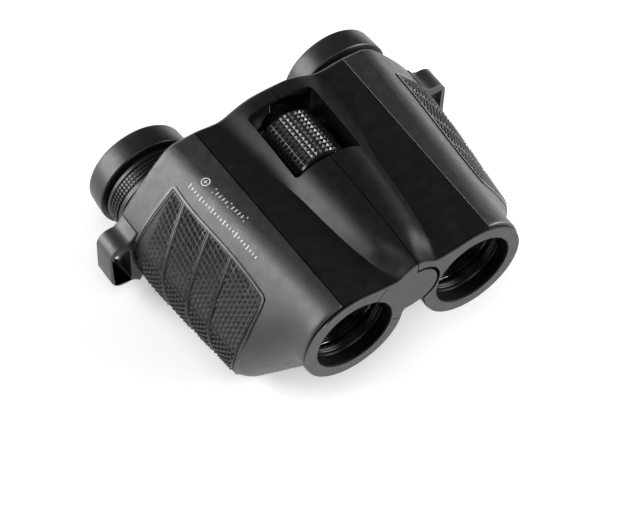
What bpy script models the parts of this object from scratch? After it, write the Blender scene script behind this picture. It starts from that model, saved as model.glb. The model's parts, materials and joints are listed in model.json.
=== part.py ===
"""Compact reverse-Porro binoculars: two prism bodies on one centre hinge, with a sunk focus wheel.

Built with the objectives at -Y, the eyepieces at +Y and the focus wheel on top (+Z). The body
coordinates start on the front face, in the symmetry plane, at the height of the objective axes.
One root empty stands the object on its barrels with the origin under its middle.
"""

import math

import bmesh
import bpy
from mathutils import Matrix, Vector

MM = 0.001

# Driving dimensions
OBJECTIVE_X = 21.1 * MM            # objective axis to the symmetry plane
EYE_X = 36.0 * MM                  # eyepiece axis to the symmetry plane, fully unfolded
EYE_Z = -15.2 * MM                 # eyepiece axis below the objective axis
HINGE_Z = 7.2 * MM                 # hinge axis above the objective axis
BODY_LENGTH = 78.0 * MM            # front face to rear face
OVERALL_LENGTH = 97.8 * MM         # front face to eyecup rim
FOOT_Z = -33.5 * MM                # flat foot under each barrel
FOLD_ANGLE = math.radians(33.0)    # full travel of the centre hinge

# Shells
ARMOUR = 1.2 * MM
WALL = 1.2 * MM
FIT_GAP = 0.2 * MM
SEAM_GAP = 0.35 * MM
SHELL = ARMOUR + FIT_GAP + WALL
BEZEL_Y = 4.8 * MM                 # where the armour ends and the front bezel starts
SHOULDER_Y = 20.0 * MM             # where the body reaches its full width
CHAMBER_Y = 13.0 * MM              # front end of the prism chamber
REAR_FILLET = 1.5 * MM
COVER_THICKNESS = 1.4 * MM
GRIP_START = 18.0 * MM
GRIP_END = 68.0 * MM
SOFTNESS = 1500.0                  # sharpness of the blend between the section's circles, per metre

# Objective ends
RING_R = 17.05 * MM
BORE_R = 13.14 * MM
SLEEVE_R = 15.0 * MM
BORE_END = 26.0 * MM

# Centre hinge and focus wheel
KNUCKLE_R = 7.5 * MM
RECESS_R = 8.55 * MM
FRONT_KNUCKLE_END = 13.2 * MM
MIDDLE_KNUCKLE_END = 43.2 * MM
HINGE_TUBE_R = 3.0 * MM
SPINDLE_R = 1.8 * MM
RUNNING = 0.1 * MM
CHANNEL_R = 11.6 * MM
CHANNEL_START = 43.8 * MM
CHANNEL_END = 76.6 * MM
WINDOW_START = 45.0 * MM
WINDOW_END = 72.0 * MM
WHEEL_R = 10.3 * MM
WHEEL_START = 48.2 * MM
WHEEL_END = 67.6 * MM
REAR_KNUCKLE = (68.2 * MM, 69.4 * MM)

# Optics
PRISM_HALF = 11.6 * MM
PRISM_HALF_WIDTH = 4.5 * MM
SHELF = (54.0 * MM, 55.7 * MM)
SLEEVE_OUTER = 9.6 * MM
SLEEVE_INNER = 8.7 * MM

SEGMENTS = 32
COLOURS = {
    "frame": ((0.020, 0.020, 0.021), 0.45, 0.0),
    "rubber": ((0.035, 0.035, 0.036), 0.75, 0.0),
    "grip": ((0.015, 0.015, 0.016), 0.60, 0.0),
    "plate": ((0.060, 0.060, 0.062), 0.50, 0.0),
    "steel": ((0.45, 0.45, 0.46), 0.30, 1.0),
    "brass": ((0.55, 0.42, 0.20), 0.35, 1.0),
    "alloy": ((0.05, 0.05, 0.055), 0.40, 0.6),
    "glass": ((0.55, 0.70, 0.68), 0.05, 0.0),
}
SIDES = {"left": 1.0, "right": -1.0}


# ---------------------------------------------------------------- scene and helpers

def clear_scene():
    for old in list(bpy.data.objects):
        bpy.data.objects.remove(old, do_unlink=True)


def new_collection(name):
    made = bpy.data.collections.new(name)
    bpy.context.scene.collection.children.link(made)
    return made


def material(name):
    if name in bpy.data.materials:
        return bpy.data.materials[name]
    colour, roughness, metallic = COLOURS[name]
    made = bpy.data.materials.new(name)
    made.use_nodes = True
    shader = made.node_tree.nodes["Principled BSDF"]
    shader.inputs["Base Color"].default_value = (*colour, 1.0)
    shader.inputs["Roughness"].default_value = roughness
    shader.inputs["Metallic"].default_value = metallic
    return made


def empty(name, parent=None, location=(0.0, 0.0, 0.0)):
    made = bpy.data.objects.new(name, None)
    made.location = location
    made.parent = parent
    parts.objects.link(made)
    return made


def add_mesh(name, bm, finish, axis):
    """Link a finished bmesh under a joint's empty, keeping body coordinates."""
    bmesh.ops.remove_doubles(bm, verts=bm.verts, dist=0.001 * MM)
    bmesh.ops.recalc_face_normals(bm, faces=bm.faces)
    mesh = bpy.data.meshes.new(name)
    bm.to_mesh(mesh)
    bm.free()
    made = bpy.data.objects.new(name, mesh)
    parts.objects.link(made)
    made.parent = axis
    made.location = -axis.location if axis.parent else Vector()
    mesh.shade_smooth()
    mesh.set_sharp_from_angle(angle=math.radians(35.0))
    mesh.materials.append(material(finish))
    return made


def as_tool(tool):
    """Move an object to the cutters, so that it shapes others and isn't a part itself."""
    parts.objects.unlink(tool)
    cutters.objects.link(tool)
    tool.display_type = "WIRE"
    tool.hide_render = True
    return tool


def combine(target, tool, operation):
    """Add a Boolean. The frames' many flush cuts leave open edges with EXACT, so they use MANIFOLD."""
    step = target.modifiers.new(f"{operation.lower()} {tool.name}", "BOOLEAN")
    step.operation = operation
    step.object = as_tool(tool)
    step.solver = "MANIFOLD" if target.name.endswith("frame") else "EXACT"


def cut(target, *tools):
    for tool in tools:
        combine(target, tool, "DIFFERENCE")


def join(target, *tools):
    for tool in tools:
        combine(target, tool, "UNION")


def along_y(x, z, start):
    """Matrix that stands a shape made along +Z on the line (x, z) along +Y."""
    return Matrix.Translation((x, start, z)) @ Matrix.Rotation(math.radians(-90.0), 4, "X")


def cylinder(name, finish, axis, place, radius, span, segments=SEGMENTS):
    """A round bar on the line place = (x, z), from span[0] to span[1] along Y."""
    bm = bmesh.new()
    matrix = along_y(place[0], place[1], (span[0] + span[1]) / 2)
    bmesh.ops.create_cone(
        bm, cap_ends=True, segments=segments, radius1=radius, radius2=radius,
        depth=span[1] - span[0], matrix=matrix,
    )
    return add_mesh(name, bm, finish, axis)


def box(name, finish, axis, low, high):
    bm = bmesh.new()
    low, high = Vector(low), Vector(high)
    matrix = Matrix.Translation((low + high) / 2) @ Matrix.Diagonal((*(high - low), 1.0))
    bmesh.ops.create_cube(bm, size=1.0, matrix=matrix)
    return add_mesh(name, bm, finish, axis)


def turned(name, finish, axis, place, profile, segments=SEGMENTS):
    """A ring or lens: a closed (radius, y) profile spun about the line place = (x, z)."""
    bm = bmesh.new()
    x, z = place
    verts = [bm.verts.new((x + radius, y, z)) for radius, y in profile]
    edges = [bm.edges.new(pair) for pair in zip(verts, verts[1:] + verts[:1])]
    bmesh.ops.spin(
        bm, geom=verts + edges, cent=(x, 0.0, z), axis=(0.0, 1.0, 0.0),
        angle=2.0 * math.pi, steps=segments,
    )
    bmesh.ops.remove_doubles(bm, verts=bm.verts, dist=0.01 * MM)
    bmesh.ops.dissolve_degenerate(bm, dist=0.01 * MM, edges=bm.edges)
    return add_mesh(name, bm, finish, axis)


def extruded(name, finish, axis, outline, depth):
    """A closed outline of 3D points pushed along the vector depth."""
    bm = bmesh.new()
    base = bm.faces.new([bm.verts.new(point) for point in outline])
    made = bmesh.ops.extrude_face_region(bm, geom=[base])
    moved = [item for item in made["geom"] if isinstance(item, bmesh.types.BMVert)]
    bmesh.ops.translate(bm, verts=moved, vec=depth)
    return add_mesh(name, bm, finish, axis)


def loft(name, finish, axis, rings, hub=None):
    """A solid through matching closed rings of 3D points.

    The ends close as a fan around the point hub = (x, z), or, for a shell whose ring runs out along
    one face and back along the other, as a strip between the two.
    """
    bm = bmesh.new()
    grid = [[bm.verts.new(point) for point in ring] for ring in rings]
    count = len(grid[0])
    for near, far in zip(grid, grid[1:]):
        for i in range(count):
            j = (i + 1) % count
            bm.faces.new((near[i], near[j], far[j], far[i]))
    for ring in (grid[0], grid[-1]):
        if hub:
            centre = bm.verts.new((hub[0], ring[0].co.y, hub[1]))
            for i in range(count):
                bm.faces.new((centre, ring[i], ring[(i + 1) % count]))
        else:
            for i in range(count // 2 - 1):
                bm.faces.new((ring[i], ring[i + 1], ring[count - 2 - i], ring[count - 1 - i]))
    return add_mesh(name, bm, finish, axis)


# ---------------------------------------------------------------- the body's section

def mix(a, b, t):
    return a + (b - a) * t


def ramp(y, start, end):
    return min(max((y - start) / (end - start), 0.0), 1.0)


def ease(t):
    return t * t * (3.0 - 2.0 * t)


def rear_fillet(y):
    """How far the rear edge's rounding pulls the section in at y."""
    depth = max(y - (BODY_LENGTH - REAR_FILLET), 0.0)
    return REAR_FILLET - math.sqrt(max(REAR_FILLET ** 2 - depth ** 2, 0.0))


def section_circles(y, inset):
    """The three circles that the section is wrapped around: shoulder, eyepiece and objective."""
    front = ramp(y, BEZEL_Y, SHOULDER_Y)
    rear = ramp(y, SHOULDER_Y, BODY_LENGTH)
    whole = ramp(y, BEZEL_Y, BODY_LENGTH)
    shoulder = (mix(24.5, 31.2, whole), mix(5.5, 5.6, whole), mix(11.8, 10.0, whole))
    wide = ease(rear ** 0.7)
    full = (mix(32.7, 36.0, wide), mix(-15.9, -15.2, wide), mix(17.6, 18.9, wide))
    eyepiece = tuple(mix(a, b, front) for a, b in zip((21.1, 0.0, 15.8), full))
    objective = (21.1, 0.0, mix(17.2, 13.0, ease(whole)))
    shrink = inset + rear_fillet(y)
    return [
        (Vector((u * MM, z * MM)), radius * MM - shrink)
        for u, z, radius in (shoulder, eyepiece, objective)
    ]


def wrap(circles, angle):
    """The point of a soft convex wrap around circles, where its outward normal has this angle."""
    normal = Vector((math.cos(angle), math.sin(angle)))
    heights = [centre.dot(normal) + radius for centre, radius in circles]
    top = max(heights)
    weights = [math.exp((height - top) * SOFTNESS) for height in heights]
    total = sum(weights)
    point = Vector((0.0, 0.0))
    mean = 0.0
    for (centre, radius), height, weight in zip(circles, heights, weights):
        point += (centre + normal * radius) * (weight / total)
        mean += height * weight / total
    soft_top = top + math.log(total) / SOFTNESS
    return point + normal * (soft_top - mean)


def wrap_arc(y, inset, start, end, steps):
    """Points of the section's wrap from one normal angle to another, in degrees."""
    circles = section_circles(y, inset)
    angles = [math.radians(mix(start, end, i / steps)) for i in range(steps + 1)]
    points = [wrap(circles, angle) for angle in angles]
    floor = FOOT_Z + inset + rear_fillet(y)
    return [(point.x, max(point.y, floor)) for point in points]


def seam(y):
    """Where the armour's top edge runs: distance from the symmetry plane, and height."""
    whole = ramp(y, 0.0, BODY_LENGTH)
    return mix(25.6, 26.6, whole) * MM, mix(17.5, 15.6, whole) * MM


def crown_z(y):
    """Height of the hump at the symmetry plane."""
    peak_y, peak_z = 32.0 * MM, 21.2 * MM
    bend = 2.25 if y < peak_y else 0.94
    return peak_z - bend * (y - peak_y) ** 2


def cover_top(y, inset=0.0):
    """Top line of the inner cover, from the symmetry plane over the hump and valley to the seam."""
    valley_u = mix(10.2, 19.3, ease(ramp(y, 0.0, 26.0 * MM))) * MM
    valley_z = mix(15.7, 14.8, ramp(y, 0.0, BODY_LENGTH)) * MM
    seam_u, seam_z = seam(y)
    shrink = inset + rear_fillet(y)
    points = []
    for i in range(9):
        u = max(valley_u * i / 8, SEAM_GAP)
        bell = 0.5 * (1.0 + math.cos(math.pi * u / valley_u))
        points.append((u, mix(valley_z, crown_z(y), bell) - shrink))
    for i in range(1, 5):
        t = i / 4
        points.append((mix(valley_u, seam_u, t), mix(valley_z, seam_z, ease(t)) - shrink))
    return points


def floor_z(y):
    """Lower edge of the hinge's web, deeper where the focus wheel turns."""
    return mix(-2.0, -5.9, ease(ramp(y, 34.0 * MM, CHANNEL_START))) * MM


def frame_section(y):
    """Outline of the frame: the cover, the step under the armour, and the bare inner side."""
    under_armour = ARMOUR + FIT_GAP
    seam_u, seam_z = seam(y)
    step = (seam_u - FIT_GAP, seam_z - under_armour - rear_fillet(y))
    last = mix(-170.0, -160.0, ramp(y, 0.0, CHANNEL_START))
    return (
        cover_top(y)[:-1]
        + [(seam_u - FIT_GAP, seam_z - rear_fillet(y)), step]
        + wrap_arc(y, under_armour, 74.0, -118.0, 16)
        + wrap_arc(y, 0.0, -122.0, last, 5)
        + [(4.0 * MM, floor_z(y)), (SEAM_GAP, floor_z(y))]
    )


def placed(outline, side, y):
    return [(side * u, y, z) for u, z in outline]


def stations(start, end):
    """Distances along the body where sections are taken, closer where the shape turns."""
    marks = [9.0, 14.0, 18.0, 20.5, 24.0, 32.0, 40.0, 50.0, 60.0, 64.0, 68.0, 76.5, 77.4]
    inside = [mark * MM for mark in marks if start < mark * MM < end]
    return [start] + inside + [end]


# ---------------------------------------------------------------- shells

def wedge(name, axis, side, span):
    """The space below the hinge that a half leaves free for the other half's travel."""
    half = FOLD_ANGLE / 2 + math.radians(0.6)
    reach = 60.0 * MM
    outline = [
        (side * SEAM_GAP, span[0], HINGE_Z),
        (-side * 20.0 * MM, span[0], HINGE_Z),
        (-side * 20.0 * MM, span[0], HINGE_Z - reach),
        (side * (SEAM_GAP + reach * math.tan(half)), span[0], HINGE_Z - reach),
    ]
    return extruded(name, "frame", axis, outline, (0.0, span[1] - span[0], 0.0))


def prism_chamber(name, axis, side):
    """The hollow that holds the prisms, open at the rear."""
    wall_u = 13.2 * MM
    rings = []
    for y in stations(CHAMBER_Y, 76.0 * MM) + [BODY_LENGTH + 1.0 * MM]:
        shoulder, eyepiece, objective = section_circles(min(y, 76.0 * MM), SHELL)
        objective = (objective[0], OBJECTIVE_X - wall_u)
        circles = [shoulder, eyepiece, objective]
        ring = []
        for i in range(30):
            point = wrap(circles, 2.0 * math.pi * i / 30)
            ring.append((side * max(point.x, wall_u), y, max(point.y, FOOT_Z + SHELL)))
        rings.append(ring)
    return loft(name, "frame", axis, rings, (side * 30.0 * MM, -6.0 * MM))


def hinge_web(name, axis, side):
    """The front end of the frame: the web beside the hinge, flush with the front face."""
    top = [point for point in cover_top(0.0) if point[0] < 10.5 * MM]
    sector = [(11.2, 13.9), (13.0, 11.0), (9.0, 0.0), (6.7, -3.3), (4.6, -2.6), (3.3, -0.6)]
    outline = top + [(u * MM, z * MM) for u, z in sector] + [(SEAM_GAP, -0.6 * MM)]
    ring = placed(outline, side, 0.0)
    return extruded(name, "frame", axis, ring, (0.0, 6.0 * MM, 0.0))


def build_frame(half, axis):
    """One half's frame: cover, prism chamber, objective sleeve and hinge knuckles."""
    side = SIDES[half]
    rings = [placed(frame_section(y), side, y) for y in stations(BEZEL_Y, BODY_LENGTH)]
    frame = loft(f"{half}_frame", "frame", axis, rings, (side * 20.0 * MM, 3.0 * MM))
    barrel = (side * OBJECTIVE_X, 0.0)
    centre = (0.0, HINGE_Z)

    def tool(word, place, radius, span):
        return cylinder(f"{half} {word}", "frame", axis, place, radius, span)

    join(frame, hinge_web(f"{half} web", axis, side))
    join(frame, tool("sleeve", barrel, SLEEVE_R, (1.8 * MM, 6.5 * MM)))
    cut(frame, prism_chamber(f"{half} chamber", axis, side))
    bore = [
        (0.0, -1.0 * MM), (BORE_R, -1.0 * MM), (BORE_R, BORE_END), (8.2 * MM, 43.0 * MM), (0.0, 43.0 * MM)
    ]
    cut(frame, turned(f"{half} bore", "frame", axis, barrel, bore, SEGMENTS))
    cut(frame, tool("channel", centre, CHANNEL_R, (CHANNEL_START, CHANNEL_END)))
    if half == "left":
        cut(frame, tool("front recess", centre, RECESS_R, (-1.0 * MM, FRONT_KNUCKLE_END + 0.3 * MM)))
        knuckle = (FRONT_KNUCKLE_END + 0.3 * MM, MIDDLE_KNUCKLE_END)
    else:
        cut(frame, tool("recess", centre, RECESS_R, (FRONT_KNUCKLE_END, CHANNEL_START + 0.5 * MM)))
        knuckle = (0.0, FRONT_KNUCKLE_END - 0.1 * MM)
    cut(frame, wedge(f"{half} wedge", axis, side, (-1.0 * MM, 80.0 * MM)))
    join(frame, tool("knuckle", centre, KNUCKLE_R, knuckle))
    if half == "right":
        arm = box(
            "right bearing arm", "frame", axis,
            (-12.5 * MM, REAR_KNUCKLE[0], HINGE_Z - 3.0 * MM), (0.0, REAR_KNUCKLE[1], HINGE_Z + 3.0 * MM),
        )
        join(frame, arm, tool("bearing", centre, 5.5 * MM, REAR_KNUCKLE))
        cut(frame, tool("spindle hole", centre, SPINDLE_R + 2 * RUNNING, (66.0 * MM, 71.0 * MM)))
    shaft_end = 45.0 * MM
    cut(frame, tool("shaft hole", centre, HINGE_TUBE_R + RUNNING, (1.5 * MM, shaft_end)))
    window = box(
        f"{half} window", "frame", axis,
        (-CHANNEL_R, WINDOW_START, 8.0 * MM), (CHANNEL_R, WINDOW_END, 30.0 * MM),
    )
    inner, outer = sorted((side * 7.0 * MM, side * 17.0 * MM))
    notch = box(
        f"{half} arm notch", "frame", axis, (inner, 69.5 * MM, -7.0 * MM), (outer, CHANNEL_END, 5.5 * MM)
    )
    cut(frame, window, notch)
    return frame


def build_armour(half, axis):
    """The rubber shell around the outside of one half, from the top seam to the underside."""
    side = SIDES[half]
    rings = []
    for y in stations(BEZEL_Y, BODY_LENGTH):
        seam_u, seam_z = seam(y)
        seam_z -= rear_fillet(y)
        outer = [(seam_u + FIT_GAP / 2, seam_z)] + wrap_arc(y, 0.0, 74.0, -117.0, 16)
        inner = [(seam_u + FIT_GAP / 2, seam_z - ARMOUR)] + wrap_arc(y, ARMOUR, 74.0, -117.0, 16)
        rings.append(placed(outer + inner[::-1], side, y))
    return loft(f"{half}_armour", "rubber", axis, rings)


def build_bezel(half, axis):
    """The front ring around the objective, cut away where the hinge web comes through."""
    side = SIDES[half]
    barrel = (side * OBJECTIVE_X, 0.0)
    profile = [
        (BORE_R, 0.3 * MM), (BORE_R + 0.3 * MM, 0.0), (RING_R - 0.5 * MM, 0.0), (RING_R, 0.5 * MM),
        (RING_R, 4.5 * MM), (SLEEVE_R + FIT_GAP, 4.5 * MM), (SLEEVE_R + FIT_GAP, 1.5 * MM),
        (BORE_R, 1.5 * MM),
    ]
    bezel = turned(f"{half}_front_bezel", "plate", axis, barrel, profile, 36)
    corner = [(11.4, 14.2), (13.3, 10.9), (9.3, 0.0), (6.9, -3.5), (3.0, -3.5), (0.0, 0.0), (0.0, 18.0)]
    outline = [(side * u * MM, -1.0 * MM, z * MM) for u, z in corner]
    cut(bezel, extruded(f"{half} web clearance", "frame", axis, outline, (0.0, 7.0 * MM, 0.0)))
    return bezel


def build_rear_cover(half, axis):
    """The plate that closes the prism chamber, with a collar around the eyepiece."""
    side = SIDES[half]
    eye = (side * EYE_X, EYE_Z)
    circles = section_circles(76.0 * MM, SHELL + 0.4 * MM)
    circles[2] = (circles[2][0], OBJECTIVE_X - 13.2 * MM - 0.4 * MM)
    outline = [wrap(circles, 2.0 * math.pi * i / 40) for i in range(40)]
    low = FOOT_Z + SHELL + 0.4 * MM
    ring = [(side * point.x, BODY_LENGTH - COVER_THICKNESS, max(point.y, low)) for point in outline]
    cover = extruded(f"{half}_rear_cover", "plate", axis, ring, (0.0, COVER_THICKNESS, 0.0))
    rim = (BODY_LENGTH - 0.5 * MM, BODY_LENGTH + 0.7 * MM)
    join(cover, cylinder(f"{half} collar", "plate", axis, eye, 14.6 * MM, rim))
    hole = (BODY_LENGTH - 3.0 * MM, BODY_LENGTH + 2.0 * MM)
    cut(cover, cylinder(f"{half} eyepiece hole", "plate", axis, eye, SLEEVE_OUTER + 3 * RUNNING, hole))
    return cover


def build_strap_lug(half, axis):
    """The strap loop on the outer side, with its slot running along the body."""
    side = SIDES[half]
    span = (68.6 * MM, 77.0 * MM)
    eye = Vector((EYE_X, EYE_Z))
    low, high, tip = -28.6 * MM, -9.4 * MM, 62.3 * MM
    bend = 4.0 * MM
    inner_r = 18.9 * MM + 0.3 * MM
    outline = []
    for corner, turn in (((tip - bend, high - bend), 90.0), ((tip - bend, low + bend), 0.0)):
        for i in range(5):
            angle = math.radians(turn - 22.5 * i)
            outline.append((corner[0] + bend * math.cos(angle), corner[1] + bend * math.sin(angle)))
    for i in range(9):
        z = mix(low, high, i / 8)
        outline.append((eye.x + math.sqrt(inner_r ** 2 - (z - eye.y) ** 2), z))
    loop = extruded(
        f"{half}_strap_lug", "rubber", axis, placed(outline, side, span[0]),
        (0.0, span[1] - span[0], 0.0),
    )
    near, far = sorted((side * 55.6 * MM, side * 60.1 * MM))
    slot = box(
        f"{half} lug slot", "rubber", axis,
        (near, span[0] - 1.0 * MM, -25.6 * MM), (far, span[1] + 1.0 * MM, -12.2 * MM),
    )
    cut(loop, slot)
    return loop


def build_grip(half, axis):
    """The finger grip panel let on to the armour's outer side."""
    side = SIDES[half]
    rise, base = 0.9 * MM, 0.4 * MM
    rings = []
    for y in stations(GRIP_START, GRIP_END):
        corner = ramp(y, 60.0 * MM, GRIP_END)
        start = 41.0 - 4.0 * corner ** 2
        end = mix(-36.0, -26.0, ramp(y, GRIP_START, 60.0 * MM)) + 26.0 * corner ** 2
        outer = wrap_arc(y, -rise, start, end, 10)
        inner = wrap_arc(y, -base, start, end, 10)
        rings.append(placed(outer + inner[::-1], side, y))
    return loft(f"{half}_grip_panel", "grip", axis, rings)


# ---------------------------------------------------------------- optics

def build_objective(half, axis):
    """Objective lens between its retaining ring and its seat."""
    place = (SIDES[half] * OBJECTIVE_X, 0.0)
    outer = BORE_R - FIT_GAP
    retainer = [(12.3, 4.3), (12.6, 4.1), (outer / MM, 4.1), (outer / MM, 7.0), (12.3, 7.0)]
    seat = [(11.9, 11.6), (outer / MM, 11.6), (outer / MM, 14.0), (11.9, 14.0)]
    for word, profile in (("objective_retainer", retainer), ("objective_seat", seat)):
        points = [(r * MM, y * MM) for r, y in profile]
        turned(f"{half}_{word}", "alloy", axis, place, points, 28)
    edge = outer - 0.1 * MM
    front = [(edge * t, mix(7.2 * MM, 7.8 * MM, t * t)) for t in (0.0, 0.35, 0.7, 1.0)]
    back = [(edge * t, mix(11.4 * MM, 10.6 * MM, t * t)) for t in (1.0, 0.7, 0.35, 0.0)]
    turned(f"{half}_objective_lens", "glass", axis, place, front + back, 24)


def prism_outline(centre, flat, apex):
    """A right-angle prism's outline along one axis: (position, y), its sharp ends ground off."""
    trim = 0.8 * MM
    sign = 1.0 if apex > flat else -1.0
    half = PRISM_HALF
    return [
        (centre - half, flat), (centre + half, flat), (centre + half, flat + sign * trim),
        (centre + trim, apex), (centre - trim, apex), (centre - half, flat + sign * trim),
    ]


def build_prisms(half, axis):
    """Two right-angle prisms on a drilled shelf, each held down by a spring strap."""
    side = SIDES[half]
    depth = 2 * PRISM_HALF_WIDTH
    middle_u = (OBJECTIVE_X + EYE_X) / 2
    middle_z = EYE_Z / 2
    front_flat, rear_flat = SHELF[0] - 0.3 * MM, SHELF[1] + 0.3 * MM
    rear = prism_outline(middle_u, rear_flat, rear_flat + PRISM_HALF - 0.2 * MM)
    points = [(side * u, y, -PRISM_HALF_WIDTH) for u, y in rear]
    extruded(f"{half}_rear_prism", "glass", axis, points, (0.0, 0.0, depth))
    front = prism_outline(middle_z, front_flat, front_flat - PRISM_HALF + 0.2 * MM)
    points = [(side * EYE_X - PRISM_HALF_WIDTH, y, z) for z, y in front]
    extruded(f"{half}_front_prism", "glass", axis, points, (depth, 0.0, 0.0))

    circles = section_circles(sum(SHELF) / 2, SHELL + 0.5 * MM)
    circles[2] = (circles[2][0], OBJECTIVE_X - 13.2 * MM - 0.5 * MM)
    ring = []
    for i in range(36):
        point = wrap(circles, 2.0 * math.pi * i / 36)
        ring.append((side * point.x, SHELF[0], max(point.y, FOOT_Z + SHELL + 0.4 * MM)))
    shelf = extruded(f"{half}_prism_shelf", "alloy", axis, ring, (0.0, SHELF[1] - SHELF[0], 0.0))
    span = (SHELF[0] - 1.0 * MM, SHELF[1] + 1.0 * MM)
    for i, place in enumerate(((side * OBJECTIVE_X, 0.0), (side * EYE_X, 0.0), (side * EYE_X, EYE_Z))):
        cut(shelf, cylinder(f"{half} light hole {i}", "alloy", axis, place, 4.9 * MM, span, segments=24))


def strap_outline(centre, flat, sign):
    """A bent strip over a prism: outside and inside lines, as (position, y)."""
    thick = 0.5 * MM
    foot = PRISM_HALF + 1.9 * MM
    knee = PRISM_HALF + 1.0 * MM
    top = PRISM_HALF + 0.7 * MM
    outer = [(-foot, thick), (-knee - 0.1 * MM, thick), (-0.9 * MM, top + thick)]
    outer += [(-u, y) for u, y in reversed(outer)]
    inner = [(foot, 0.0), (knee + 0.1 * MM, 0.0), (0.7 * MM, top), (-0.7 * MM, top), (-knee - 0.1 * MM, 0.0)]
    inner += [(-foot, 0.0)]
    return [(centre + u, flat + sign * y) for u, y in outer + inner]


def build_prism_straps(half, axis):
    side = SIDES[half]
    width = 3.0 * MM
    rear = strap_outline((OBJECTIVE_X + EYE_X) / 2, SHELF[1] + 0.3 * MM, 1.0)
    points = [(side * u, y, -width / 2) for u, y in rear]
    extruded(f"{half}_rear_prism_strap", "steel", axis, points, (0.0, 0.0, width))
    front = strap_outline(EYE_Z / 2, SHELF[0] - 0.3 * MM, -1.0)
    points = [(side * EYE_X - width / 2, y, z) for z, y in front]
    extruded(f"{half}_front_prism_strap", "steel", axis, points, (width, 0.0, 0.0))


# ---------------------------------------------------------------- hinge and focus drive

def build_hinge_tube(axis):
    profile = [
        (SPINDLE_R + 0.2 * MM, 1.9 * MM), (HINGE_TUBE_R, 1.9 * MM),
        (HINGE_TUBE_R, 47.7 * MM), (SPINDLE_R + 0.2 * MM, 47.7 * MM),
    ]
    turned("hinge_tube", "steel", axis, (0.0, HINGE_Z), profile, 24)


def build_focus_wheel(axis):
    """The wheel's core with its smooth front ring, and the knurled sleeve pressed over it."""
    place = (0.0, HINGE_Z)
    core_r = WHEEL_R - 1.4 * MM
    bore = SPINDLE_R + 0.2 * MM
    core = [
        (bore, WHEEL_START), (WHEEL_R - 0.3 * MM, WHEEL_START), (WHEEL_R, WHEEL_START + 0.3 * MM),
        (WHEEL_R, WHEEL_START + 1.0 * MM), (core_r, WHEEL_START + 1.0 * MM), (core_r, WHEEL_END),
        (bore, WHEEL_END),
    ]
    turned("focus_wheel_core", "alloy", axis, place, core, 32)
    start = WHEEL_START + 1.2 * MM
    sleeve = [
        (core_r + FIT_GAP, start), (WHEEL_R - 0.1 * MM, start), (WHEEL_R - 0.1 * MM, WHEEL_END - 0.3 * MM),
        (WHEEL_R - 0.4 * MM, WHEEL_END), (core_r + FIT_GAP, WHEEL_END),
    ]
    turned("focus_wheel_grip", "rubber", axis, place, sleeve, 32)


def build_spindle(axis):
    cylinder("focus_spindle", "brass", axis, (0.0, HINGE_Z), SPINDLE_R, (38.0 * MM, 74.6 * MM), segments=24)


def build_focus_arm(half, axis, span):
    """The flat link from the focus spindle to the eyepiece sleeve."""
    side = SIDES[half]
    start = Vector((0.0, HINGE_Z))
    end = Vector((side * EYE_X, EYE_Z))
    along = (end - start).normalized()
    across = Vector((-along.y, along.x)) * 2.6 * MM
    corners = [start - across, start + across, end + across, end - across]
    ring = [(point.x, span[0], point.y) for point in corners]
    arm = extruded(f"{half}_focus_arm", "steel", axis, ring, (0.0, span[1] - span[0], 0.0))
    join(arm, cylinder(f"{half} arm eye", "steel", axis, start, 4.8 * MM, span, segments=28))
    join(arm, cylinder(f"{half} arm ring", "steel", axis, end, 11.2 * MM, span))
    wide = (span[0] - 1.0 * MM, span[1] + 1.0 * MM)
    cut(arm, cylinder(f"{half} arm eye hole", "steel", axis, start, SPINDLE_R + RUNNING, wide, segments=28))
    cut(arm, cylinder(f"{half} arm ring hole", "steel", axis, end, SLEEVE_OUTER + RUNNING, wide))


# ---------------------------------------------------------------- eyepieces

def build_ocular(half, carriage, barrel_axis):
    """The sliding sleeve, and the lens barrel with its lenses, retaining ring and eyecup."""
    place = (SIDES[half] * EYE_X, EYE_Z)
    sleeve = [(SLEEVE_INNER, 58.0 * MM), (SLEEVE_OUTER, 58.0 * MM), (SLEEVE_OUTER, 86.0 * MM),
              (SLEEVE_INNER, 86.0 * MM)]
    turned(f"{half}_ocular_sleeve", "alloy", carriage, place, sleeve, 28)
    barrel = [
        (6.6, 61.0), (8.5, 61.0), (8.5, 88.7), (14.2, 88.7), (14.2, 90.3), (11.0, 90.3), (11.0, 94.0),
        (9.6, 94.0), (9.6, 89.7), (7.4, 88.6), (7.4, 66.0), (6.6, 66.0),
    ]
    turned(f"{half}_lens_barrel", "alloy", barrel_axis, place, [(r * MM, y * MM) for r, y in barrel], 24)
    field = [(0.0, 66.3), (4.0, 66.5), (7.2, 67.2), (7.2, 69.4), (4.0, 70.2), (0.0, 70.5)]
    turned(f"{half}_field_lens", "glass", barrel_axis, place, [(r * MM, y * MM) for r, y in field], 20)
    eye = [(0.0, 89.1), (5.0, 89.3), (9.3, 90.0), (9.3, 91.8), (5.0, 92.7), (0.0, 93.0)]
    turned(f"{half}_eye_lens", "glass", barrel_axis, place, [(r * MM, y * MM) for r, y in eye], 24)
    ring = [(8.3, 93.2), (9.4, 92.3), (9.4, 94.0), (8.7, 94.0)]
    turned(f"{half}_eye_lens_ring", "alloy", barrel_axis, place, [(r * MM, y * MM) for r, y in ring], 24)
    cup = [
        (14.4, 89.1), (16.9, 89.1), (17.2, 89.5), (16.7, 97.0), (15.9, 97.8), (14.9, 97.6),
        (13.2, 92.2), (11.2, 92.2), (11.2, 90.5), (14.4, 90.5),
    ]
    turned(f"{half}_eyecup", "rubber", barrel_axis, place, [(r * MM, y * MM) for r, y in cup], 32)


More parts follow.
